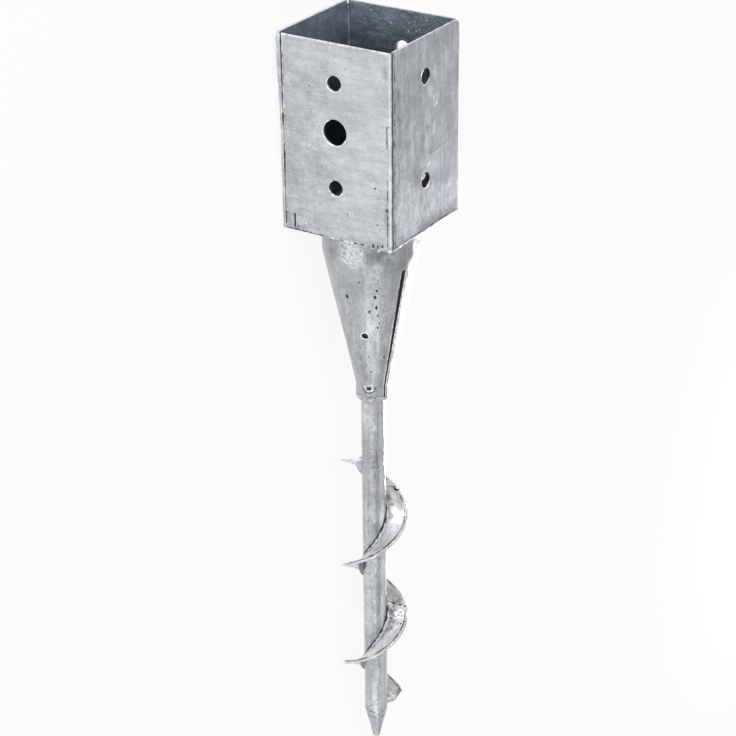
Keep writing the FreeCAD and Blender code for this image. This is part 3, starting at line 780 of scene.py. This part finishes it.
# Small lumps and lines of zinc and dirt
class Cluster:
    """Small lumps and lines of one material, gathered into one piece."""

    def __init__(self):
        self.points = []
        self.faces = []
        self.seed = 40

    def add(self, points, faces):
        first = len(self.points)
        self.points += [tuple(point) for point in points]
        self.faces += [tuple(first + k for k in face) for face in faces]
        self.seed += 1

    def line(self, path, radius, closed=False, uneven=0.3, grain=3.0):
        """A thin uneven thread along a path."""
        path = [Vector(point) for point in path]
        count = len(path)
        turns = around(8)
        rings = []
        for k, point in enumerate(path):
            ahead = path[(k + 1) % count] if closed or k < count - 1 else point
            behind = path[k - 1] if closed or k else point
            along = (ahead - behind).normalized()
            aside = Vector((0.31, 0.52, 0.80)) if abs(along.z) < 0.9 else Vector((1, 0.2, 0))
            side = along.cross(aside).normalized()
            other = along.cross(side)
            thick = radius * (1 + uneven * 2 * ripple(self.seed, *(point / grain)))
            rings.append([point + (side * cos(turn) + other * sin(turn)) * thick for turn in turns])
        self.add(*skin(rings, closed))

    def straight(self, first, last, radius, **settings):
        self.line(finer([first, last], 1.2), radius, **settings)

    def lump(self, centre, out, along, long, wide, high, ragged=0.25):
        """A low dome that lies on a surface; out is the surface's normal."""
        centre = Vector(centre)
        out = Vector(out).normalized()
        along = (Vector(along) - out * out.dot(Vector(along))).normalized()
        across = out.cross(along)
        rings = []
        for reach, rise in ((1.0, -0.4), (0.92, 0.25), (0.7, 0.7), (0.35, 0.95)):
            ring = []
            for angle in around(14):
                edge = 1 + ragged * 2 * ripple(self.seed, cos(angle) * 1.3, sin(angle) * 1.3, reach)
                spot = along * long * cos(angle) + across * wide * sin(angle)
                ring.append(centre + spot * reach * edge + out * high * rise)
            rings.append(ring)
        self.add(*skin(rings))

    def piece(self, name, material, slot="galvanised_weld"):
        new_piece(name, (self.points, self.faces), material)


OUT_OF_FRONT = (0, -1, 0)
OUT_OF_RIGHT = (1, 0, 0)
UP = (0, 0, 1)


def on_tube(degrees, depth, proud=0.0):
    """A point on the cone, and the surface's normal there."""
    angle = radians(degrees)
    tapers = TUBE_STRAIGHT < depth < TAPER_END
    slope = (TUBE_RADIUS - COLLAR_RADIUS) / (TAPER_END - TUBE_STRAIGHT) if tapers else 0.0
    out = Vector((cos(angle), sin(angle), -slope)).normalized()
    return Vector(polar(tube_radius(depth), degrees, -depth)) + out * proud, out


def on_collar(across, depth, proud):
    """A point over the collar, beside the middle of the plug weld."""
    degrees = VENT_ANGLE + math.degrees(math.asin(across / (COLLAR_RADIUS + 1)))
    return polar(COLLAR_RADIUS + proud, degrees, -depth)


def slot_side(side, outward, proud, shorter=0):
    """A path along a side of the slot, that far outward of its edge."""
    path = []
    for depth in range(int(SLOT_TOP) + shorter, int(COLLAR_END) - shorter):
        share = min(1.0, (depth - SLOT_TOP) / (TAPER_END - SLOT_TOP))
        across = (SLOT_WIDTH_TOP + (SLOT_WIDTH_END - SLOT_WIDTH_TOP) * share) / 2 + outward
        degrees = SLOT_ANGLE + side * math.degrees(across / tube_radius(depth))
        path.append(on_tube(degrees, depth, proud)[0])
    return path


def lean(z):
    """How far the left wall stands out at a height."""
    return LEAN_OUT * max(0.0, (z - SEAM_TOP) / (HEIGHT - SEAM_TOP))


# Bright zinc along edges, brighter than the walls as a painted highlight
def wall_threads(threads):
    """Threads on the front corner, the mouth and the left wall's edges, bright as painted highlights."""
    corner = OUTER - 0.7
    front = -OUTER + 0.75
    threads.straight((corner, front, 0.5), (corner, front, HEIGHT - 0.3), 1.05, uneven=0.15)
    end = -COVERED + 0.5
    threads.straight((end, -OUTER + 0.35, SEAM_TOP), (end, -OUTER + 0.35, HEIGHT), 0.6)
    rim = HEIGHT - 0.45
    middle = INNER + WALL / 2
    threads.straight((-COVERED, -middle - 0.3, rim), (OUTER - 0.6, -middle - 0.3, rim), 0.75)
    threads.straight((middle, -COVERED, rim), (middle, OUTER - 6, rim), 0.6)
    threads.straight((-OUTER + 0.6, middle, rim), (COVERED, middle, rim), 0.6)
    threads.straight((-middle - LEAN_OUT, -OUTER + 6, rim), (-middle - LEAN_OUT, COVERED, rim), 0.6)
    for edge in (-OUTER + 0.3, -INNER - 0.2):
        path = [(edge - lean(z), -OUTER + 0.3, z) for z in (0.5, SEAM_TOP / 2, SEAM_TOP, HEIGHT - 6)]
        threads.line(finer(path, 1.2), 0.5, uneven=0.4)


def hole_threads(threads):
    """Painted highlights: threads on the lower left of each hole's rim, in all four walls."""
    turns = around(48)[15:46]
    surface = OUTER - 0.05
    for side in (-1, 1):
        for height, hole in WALL_HOLES:
            radius = hole + 0.2
            arc = [(radius * cos(turn), height + radius * sin(turn)) for turn in turns]
            threads.line([(across, side * surface, z) for across, z in arc], 0.6)
            if hole == FIXING_RADIUS:
                out = surface + (lean(height) if side < 0 else 0)
                threads.line([(side * out, across, z) for across, z in arc], 0.5)


def foot_threads(threads):
    """Threads along the socket's lower edges, bright as a painted highlight."""
    low = 0.1
    edge = OUTER - 0.2
    threads.straight((-10, -edge, low), (OUTER, -edge, low), 0.4, uneven=0.9)
    threads.straight((edge, -OUTER, low), (edge, OUTER, low), 0.6, uneven=0.5)
    threads.straight((-OUTER, edge, low), (OUTER, edge, low), 0.5, uneven=0.5)


def edge_threads():
    threads = Cluster()
    wall_threads(threads)
    hole_threads(threads)
    foot_threads(threads)
    # Painted highlights along the slot's edges and round the vent
    for side in (-1, 1):
        threads.line(slot_side(side, 0.1, -0.15), 0.38)
    radius = VENT_RADIUS + 0.15
    ring = []
    for turn in around(36):
        depth = VENT_DEPTH + radius * sin(turn)
        across = radius * cos(turn)
        ring.append(on_tube(VENT_ANGLE + math.degrees(across / tube_radius(depth)), depth, -0.1)[0])
    threads.line(ring, 0.75, closed=True)
    threads.piece("zinc_edges_and_highlights", EDGE_ZINC_AND_HIGHLIGHT, "galvanised_sheet")


# Dark dirt and painted shade in seams
# Lines on the front wall near its sides: place across, lower and upper end, and radius
FRONT_SIDE_DARK_LINES = (
    (-45.2, 139.8, 146, 0.5), (-45.0, 80.7, 90, 0.95), (-44.4, 44, 61, 0.5), (-44.9, 3, 66, 0.22),
    (-43.6, 86, 146, 0.2), (OUTER - 3.0, 4, 60, 0.24), (OUTER - 3.1, 78, 96, 0.35))
SPIKE_TURN = 24  # the painted shade along the blades' beads starts here


def socket_seams(dirt_and_shade, shade):
    """Painted shade beside the front corner and along the right wall's foot, a painted shadow line along the
    front wall's foot, and dark lines along its sides.
    """
    for k in range(19):
        spot = (OUTER + 0.01, -45.0 + 0.4 * ripple(46, k * 0.9), 6 + 7.7 * k + 2 * ripple(45, k * 0.7))
        shade.lump(spot, OUT_OF_RIGHT, UP, 7.5, 1.15, 0.2, 0.1)
    side = OUTER - 0.2
    beside = -INNER + 3.4
    shade.straight((side, beside, 2.0), (side, beside, HEIGHT - 3), 0.3, uneven=0.6)
    shade.straight((side, -OUTER + 2, 1.6), (side, OUTER - 3, 1.6), 0.36, uneven=0.6)
    front = -OUTER + 0.15
    dirt_and_shade.straight((-OUTER + 3, front, 0.25), (OUTER - 4, front, 0.25), 0.32, uneven=0.9)
    face = -OUTER + 0.12
    for u, bottom, top, radius in FRONT_SIDE_DARK_LINES:
        dirt_and_shade.straight((u, face, bottom), (u, face, top), radius, uneven=0.7, grain=5.0)


def blade_seams(dirt_and_shade, shade):
    """Painted shade along the blades' beads, and a thin painted shade line inside their rims."""
    top = BLADE_THICKNESS / 2
    stretches = ((SPIKE_TURN, UPPER_JOINT - JOINT_SLANT, 0),
                 (UPPER_JOINT, LOWER_JOINT - JOINT_SLANT - 4, JOINT_STEP), (LOWER_JOINT, AUGER_END - 5, 0))
    for start, end, drop in stretches:
        turns = range(int(start), int(end), 3)
        path = [on_auger(BAR_RADIUS + 0.15, turn, top + BEAD_LEG - 0.1 - drop) for turn in turns]
        dirt_and_shade.line(path, 0.95, uneven=0.45, grain=5.0)
        path = [on_auger(RIM_RADIUS - 2.4, turn, top - 0.1 - drop) for turn in turns]
        shade.line(path, 0.19, uneven=0.9, grain=4.0)


def joint_seams(dirt_and_shade):
    """Painted shade in the blades' two joints and under the lower blade, and dark specks beside the lower
    joint.
    """
    top = BLADE_THICKNESS / 2
    radius = 23.4
    corner = 139
    path = []
    for turn in range(106, corner, 2):
        drop = JOINT_STEP if turn > UPPER_JOINT - 16 else 0.0
        path.append(on_auger(radius, turn, top - 0.05 - drop))
    height = level(corner) - JOINT_STEP + top
    path += [polar(radius + 3.4 * k / 4, START_ANGLE - corner - k / 2, height) for k in range(5)]
    dirt_and_shade.line(path, 0.42, uneven=0.5)
    path = []
    for k in range(16):
        radius = BAR_RADIUS + 3 + (RIM_RADIUS - BAR_RADIUS - 3.6) * k / 15
        angle = line_angle(radius, LOWER_JOINT - JOINT_SLANT, LOWER_JOINT, BAR_RADIUS + FIT_GAP, RIM_RADIUS)
        turn = math.degrees(angle)
        path.append(polar(radius, START_ANGLE - turn - 0.8, level(turn) - JOINT_STEP + top - 0.1))
    dirt_and_shade.line(path, 0.75, uneven=0.8)
    for k in range(14):
        turn = LOWER_JOINT + 13 + 44 * ripple(47, k * 0.83)
        spot = on_auger(min(24.6, 19 + 12 * ripple(48, k * 0.91)), turn, top + 0.02)
        dirt_and_shade.lump(spot, UP, (1, k, 0), 0.9 + 0.6 * ripple(54, k * 0.9), 0.5, 0.1, 0.4)
    # Painted shade under the lower blade
    for shift in range(0, 18, 3):
        spot = on_auger(RIM_RADIUS - 12 - shift / 3, 702 + shift, -top - 0.05)
        dirt_and_shade.lump(spot, (0, 0, -1), (1, 0.3, 0), 1.6, 1.0, 0.3, 0.3)


def bar_dark_lines_and_specks(dirt_and_shade):
    """Dark lines round the plug weld and at the point's rings, and dark specks along the bar."""
    ring = [on_collar(5.2 * cos(turn), PLUG_DEPTH + 4.3 * sin(turn), 0.05) for turn in around(36)]
    dirt_and_shade.line(ring, 0.3, uneven=0.6, closed=True)
    for depth, radius in ((POINT_START + 0.5, BAR_RADIUS - 0.15), (SHOULDER + 0.6, SHOULDER_RADIUS - 0.45)):
        dirt_and_shade.line([polar(radius, 10 * k, -depth) for k in range(36)], 0.2, uneven=0.7, closed=True)
    for k in range(26):
        depth = 150 + 300 * (0.5 + ripple(50, k * 0.71))
        spot = polar(BAR_RADIUS - 0.02, -57 + 110 * ripple(49, k * 0.83), -depth)
        dirt_and_shade.lump(spot, (spot[0], spot[1], 0), UP, 0.8 + ripple(53, k * 0.9), 0.25, 0.1, 0.4)


def seam_dirt_and_painted_shade():
    dirt_and_shade = Cluster()
    shade = Cluster()
    socket_seams(dirt_and_shade, shade)
    # A painted shade line along one side of the slot
    dirt_and_shade.line(slot_side(-1, -0.5, -0.75, shorter=1), 0.42, uneven=0.25)
    blade_seams(dirt_and_shade, shade)
    joint_seams(dirt_and_shade)
    bar_dark_lines_and_specks(dirt_and_shade)
    dirt_and_shade.piece("seam_shade_and_dirt", PORE_AND_SHADE)
    shade.piece("seam_shade", SHADE)


# Zinc and weld where pieces meet
def heights(top):
    """Evenly spaced heights from just under the corner welds' ends."""
    low = SEAM_TOP - 3
    return [low + (top - low) * k / 59 for k in range(60)]


def slit_filling():
    """Zinc and weld that ran into the open slits at the left and back corners."""
    filling = Cluster()
    for offset, radius in ((0.9, 0.85), (1.9, 0.8)):
        path = [(-INNER - min(lean(z) + 0.1, offset), -OUTER + 0.75, z) for z in heights(HEIGHT - 0.6)]
        filling.line(path, radius, uneven=0.35, grain=4.0)
    path = [(-INNER - 0.7 - 0.58 * lean(z), COVERED + 0.5, z) for z in heights(HEIGHT - 2.5)]
    filling.line(path, 0.66, uneven=0.15, grain=4.0)
    filling.piece("slit_filling", FILL_ZINC)


def plug_eye():
    """The plug weld in the collar: a ring of weld round a crater."""
    profile = ((5.2, -0.6), (4.8, 0.2), (4.2, 0.8), (3.3, 1.15), (2.5, 0.9), (2.0, 0.1), (1.7, -0.6))
    rings = []
    for radius, rise in profile:
        ring = []
        for angle in around(36):
            wide = radius * (1 + 0.16 * ripple(51, cos(angle) * 2, sin(angle) * 2))
            depth = PLUG_DEPTH + wide * 0.85 * sin(angle)
            across = wide * cos(angle)
            ring.append(on_collar(across, depth, rise * (1 + 0.2 * ripple(52, across / 1.5, depth / 1.5))))
        rings.append(ring)
    new_piece("plug_bead", skin(rings), EYE_ZINC, ["plug_weld"])


# Pores, nubs, runs, painted glints and spatter, placed as on the object
FACE = OUTER - 0.02
# On the front wall: u, z and size
FRONT_PORES = (
    (-21, 115, 0.6), (10, 133, 0.5), (-12, 55, 0.5), (34, 47, 0.8), (10, 22, 0.7), (36, 19, 0.7),
    (32, 2, 1.2), (36, 2, 0.9), (40, 3, 1.0), (30, 52, 0.4), (-40, 6, 0.5), (-44, 12, 0.6), (-34, 3, 0.6),
    (44, 32, 1.3), (44.6, 26.5, 0.8), (44.6, 21, 0.9), (44.6, 18, 0.7), (44, 92, 0.5), (44, 84, 0.6),
    (37, 40, 0.5), (24, 8, 0.4), (38, 8, 0.4))
# On the right wall: v, z and size
SIDE_PORES = (
    (35, 8, 0.5), (-38, 97, 0.5), (-36, 98.5, 0.5), (20, 20, 0.35), (-20, 30, 0.35), (-30, 128, 0.4),
    (-43, 60, 0.5), (-43, 100, 0.6), (-43, 148, 0.8))
# On the cone: angle, depth and size
CONE_PORES = (
    (-51, 46, 0.8), (-53, 52, 1.0), (-51, 61.5, 1.1), (-61.5, 65, 0.9), (-48.5, 69, 0.7), (-46, 76, 0.5),
    (-48, 80.5, 0.7), (-30, 109, 0.9), (-62.5, 122, 0.7), (-74, 39, 0.7), (-96, 70, 0.5), (-95, 54, 1.2),
    (-84, 100, 0.4), (-66, 108, 0.5), (-40, 92, 0.4))
# On the front wall: u, z, size and height
FRONT_NUBS = (
    (36.5, -1.2, 1.1, 0.6), (-25, -0.8, 1.3, 0.6), (-27, 6.5, 0.8, 0.25), (12, 131, 0.6, 0.2),
    (-3, 146.5, 0.9, 0.3), (20, 112, 0.5, 0.2), (-41, 76, 0.7, 0.25))
# On the right wall: v, z, length and width
SIDE_RUNS = (
    (7, 107, 5.5, 3.2), (15, 98, 4.5, 4.0), (4, 88, 6.0, 3.2), (10, 78, 5.0, 3.4), (0, 68, 7.0, 2.6),
    (5, 54, 4.5, 3.4), (-2, 45, 4.0, 2.4), (12, 118, 6.0, 2.4))


def pores():
    marks = Cluster()
    for u, z, size in FRONT_PORES:
        marks.lump((u, -FACE, z), OUT_OF_FRONT, UP, size * 1.3, size, 0.05)
    for v, z, size in SIDE_PORES:
        marks.lump((FACE, v, z), OUT_OF_RIGHT, UP, size * 1.3, size, 0.05)
    for degrees, depth, size in CONE_PORES:
        spot, out = on_tube(degrees, depth, 0.02)
        marks.lump(spot, out, UP, size * 1.4, size, 0.06)
    spot, out = on_tube(VENT_ANGLE, PLUG_DEPTH)
    marks.lump(spot, out, UP, 1.7, 2.2, 0.25)
    marks.piece("pores", PORE_AND_SHADE, "galvanised_sheet")


def crumple_glints(bright, pale):
    """Small lumps on the crumpled patch under the socket, with painted glints: two bright ones for each pale
    one.
    """
    for k in range(84):
        degrees = -81 + 24 * ripple(67, k * 0.71)
        depth = 13 + 17 * ripple(68, k * 0.77)
        spot, out = on_tube(degrees, depth, 0.45)
        slant = (cos(k * 1.9), sin(k * 1.9), 0.7)
        group = bright if k % 3 else pale
        group.lump(spot, out, slant, 1.2, 0.6, 0.4, 0.5)


def nubs_runs_and_glints():
    nubs_and_glints = Cluster()
    for u, z, size, high in FRONT_NUBS:
        nubs_and_glints.lump((u, -FACE, z), OUT_OF_FRONT, UP, size, size, high)
    runs_and_glints = Cluster()
    # Painted glints on the crumpled patch go into both clusters
    crumple_glints(nubs_and_glints, runs_and_glints)
    nubs_and_glints.piece("zinc_nubs_and_glints", EDGE_ZINC_AND_HIGHLIGHT, "galvanised_sheet")
    for k in range(16):
        size = 0.3 + 0.45 * (0.5 + ripple(66, k * 1.3))
        u = 4 + 74 * ripple(64, k * 0.83)
        z = HEIGHT - 3 - 34 * abs(ripple(65, k * 1.1))
        if math.hypot(u, z - HIGH_HOLE) > FIXING_RADIUS + 2:
            runs_and_glints.lump((u, INNER + 0.02, z), OUT_OF_FRONT, UP, size, size, 0.3)
    for v, z, long, wide in SIDE_RUNS:
        runs_and_glints.lump((FACE - 0.06, v, z), OUT_OF_RIGHT, UP, long, wide, 0.55, 0.5)
    runs_and_glints.lump((FACE - 0.05, 34, 26), OUT_OF_RIGHT, UP, 2.6, 2.0, 0.4, 0.4)
    runs_and_glints.straight((OUTER - 0.3, -6.7, 55.9), (OUTER - 0.3, 40.9, 59.8), 0.52, uneven=0.2)
    runs_and_glints.piece("zinc_runs_and_glints", RUN_AND_GLINT_ZINC, "galvanised_sheet")


def weld_spatter():
    """Spatter on the bar above the auger, round the collar's end and under the upper blade."""
    spatter = Cluster()
    for k in range(16):
        spot = Vector(polar(BAR_RADIUS, -54 + 44 * ripple(71, k * 0.77), -(214 + 16 * ripple(72, k * 0.91))))
        spatter.lump(spot, (spot.x, spot.y, 0), UP, 1.6, 1.1, 0.7, 0.4)
    for k in range(30):
        spot, out = on_tube(-112 + 92 * k / 29, COLLAR_END - 1.5 + 1.6 * ripple(74, k * 0.9), 0.1)
        spatter.lump(spot, out, (0, 1, 0.3), 1.3, 0.9, 0.9 + ripple(75, k * 0.8), 0.4)
    for k in range(12):
        spot = Vector(on_auger(BAR_RADIUS + 0.6, 270 + 22 * ripple(73, k * 0.83), -4.6))
        spatter.lump(spot, (spot.x, spot.y, 0), UP, 1.8, 1.4, 1.3, 0.4)
    spatter.piece("weld_spatter", WELD_ZINC)


# The camera
def make_camera():
    azimuth, elevation, roll = (radians(a) for a in (VIEW_AZIMUTH, VIEW_ELEVATION, VIEW_ROLL))
    back = Vector((cos(azimuth) * cos(elevation), sin(azimuth) * cos(elevation), sin(elevation)))
    level_right = Vector((-sin(azimuth), cos(azimuth), 0.0))
    level_up = back.cross(level_right)
    right = level_right * cos(roll) + level_up * sin(roll)
    up = level_up * cos(roll) - level_right * sin(roll)
    eye = right * VIEW_RIGHT + up * VIEW_UP + back * VIEW_DISTANCE
    turn = Matrix((direction(*right), direction(*up), direction(*back))).transposed().to_4x4()
    data = bpy.data.cameras.new("camera")
    data.sensor_width = SENSOR
    data.lens = FOCAL_PIXELS / IMAGE_PIXELS * SENSOR
    camera = add_object("camera", data)
    camera.matrix_world = Matrix.Translation(place(*eye)) @ turn
    scene.camera = camera


# The floor, the light and the surroundings
FLOOR_GREY = 0.82
FLOOR_GLOW = 0.88
FLOOR_SIDE = 24.0  # in metres
SKY_GREYS = ((0.0, 1.0), (0.12, 0.95), (0.30, 0.62), (0.62, 0.50), (1.0, 0.72))  # height and grey


def seen_directly(tree):
    """1 for what the camera, a reflection or a view through glass shows, else 0."""
    path = node(tree, "LightPath").outputs
    seen = calculate("MAXIMUM", path["Is Camera Ray"], path["Is Glossy Ray"])
    return calculate("MAXIMUM", seen, path["Is Transmission Ray"])


def make_floor():
    """A pale matt floor that glows a little for the camera, so that it stays pale."""
    material = bpy.data.materials.new("pale_floor")
    material.use_nodes = True
    tree = material.node_tree
    tree.nodes.clear()
    matt = node(tree, "BsdfDiffuse", {"Color": (FLOOR_GREY, FLOOR_GREY, FLOOR_GREY, 1)})
    white = node(tree, "Emission", {"Strength": 1.0})
    mix = node(tree, "MixShader", {0: product(seen_directly(tree), FLOOR_GLOW),
                                   1: matt.outputs[0], 2: white.outputs[0]})
    node(tree, "OutputMaterial", {"Surface": mix.outputs[0]})
    half = FLOOR_SIDE / 2
    mesh = bpy.data.meshes.new("floor")
    corners = [(-half, -half, 0), (half, -half, 0), (half, half, 0), (-half, half, 0)]
    mesh.from_pydata(corners, [], [(0, 1, 2, 3)])
    mesh.materials.append(material)
    floor = add_object("floor", mesh)


def make_world():
    """White for the camera; bands of grey for what the zinc reflects."""
    world = bpy.data.worlds.new("studio")
    scene.world = world
    world.use_nodes = True
    tree = world.node_tree
    tree.nodes.clear()
    direction_seen = node(tree, "TexCoord").outputs["Generated"]
    height_seen = node(tree, "SeparateXYZ", {0: direction_seen}).outputs["Z"]
    ramp = node(tree, "ValToRGB", {0: height_seen})
    elements = ramp.color_ramp.elements
    for index, (height, grey) in enumerate(SKY_GREYS):
        stop = elements[index] if index < 2 else elements.new(height)
        stop.position = height
        stop.color = (grey, grey, grey, 1)
    greys = node(tree, "Background", {"Color": ramp.outputs[0]})
    white = node(tree, "Background", {"Color": (1, 1, 1, 1)})
    mix = node(tree, "MixShader", {0: node(tree, "LightPath").outputs["Is Camera Ray"],
                                   1: greys.outputs[0], 2: white.outputs[0]})
    node(tree, "OutputWorld", {"Surface": mix.outputs[0]})


def soft_light(name, towards, distance, size, power, target=(0, 0, -100)):
    """A round lamp that stands towards a direction from its target, distances and size in metres."""
    data = bpy.data.lights.new(name, "AREA")
    data.shape = "DISK"
    data.size = size
    data.energy = power
    lamp = add_object(name, data)
    aim = Vector(towards).normalized()
    lamp.location = place(*target) + aim * distance
    lamp.rotation_mode = "QUATERNION"
    lamp.rotation_quaternion = aim.to_track_quat("Z", "Y")


# Everything in its place
for sheet_name in ("front_wall", "back_wall", "floor_plate"):
    sheet_piece(sheet_name, FRONT_ZINC)
for sheet_name in ("right_wall", "left_wall"):
    sheet_piece(sheet_name, SIDE_ZINC)
for bead_name in ("front_corner", "left_corner", "right_corner", "back_corner", "floor"):
    sheet_piece(f"{bead_name}_weld", WELD_ZINC, BEAD_ROUND)
cone()
ring_bead("cone_top_bead", "cone_weld", bulge(TUBE_RADIUS - 0.4, 0.05, 3.4, 3.0), 220, 11, 3.2)
ring_bead("collar_bead", "collar_weld", bulge(BAR_RADIUS - 0.3, COLLAR_END - 0.2, 3.9, 3.6), 160, 12, 3.0)
plug_eye()
bar()
blade("upper", 0.0, UPPER_JOINT, False, True, 0.0, 21)
blade("middle", UPPER_JOINT, LOWER_JOINT, True, True, JOINT_STEP, 22)
blade("lower", LOWER_JOINT, AUGER_END, True, False, 0.0, 23)
root_bead("auger_bead_upper", ["blade_weld_upper"], 3.0, UPPER_JOINT - JOINT_SLANT - 3, 0.0, 31)
root_bead("auger_bead_middle", ["blade_weld_middle"], UPPER_JOINT - JOINT_SLANT / 2,
          LOWER_JOINT - JOINT_SLANT - 3, JOINT_STEP, 32)
root_bead("auger_bead_lower", ["blade_weld_lower"], LOWER_JOINT - JOINT_SLANT / 2, AUGER_END - 3, 0.0, 33)
root_bead("spike_bead", [], 0.0, 46.0, 0.0, 34, side=-1, wide=4.6, tall=8.0)
# Beads under the blades, darkened as painted shade
root_bead("under_bead_upper", [], 325.0, 374.0, JOINT_STEP, 35, -1, 3.6, 7.5, SHADED_WELD)
root_bead("under_bead_lower", [], 690.0, 728.0, 0.0, 36, -1, 3.0, 4.5, SHADED_WELD)
edge_threads()
seam_dirt_and_painted_shade()
slit_filling()
pores()
nubs_runs_and_glints()
weld_spatter()

make_camera()
make_floor()
make_world()
soft_light("key", (-0.37, -0.45, 0.81), distance=1.9, size=0.7, power=9.0)
soft_light("head", (-0.96, -0.26, 0.10), distance=2.0, size=0.9, power=15.0)
soft_light("rim", (0.39, 0.92, 0.03), distance=1.2, size=0.14, power=4.5, target=(0, 0, -250))
soft_light("band", (0.80, -0.50, 0.33), distance=2.0, size=0.3, power=3.5)
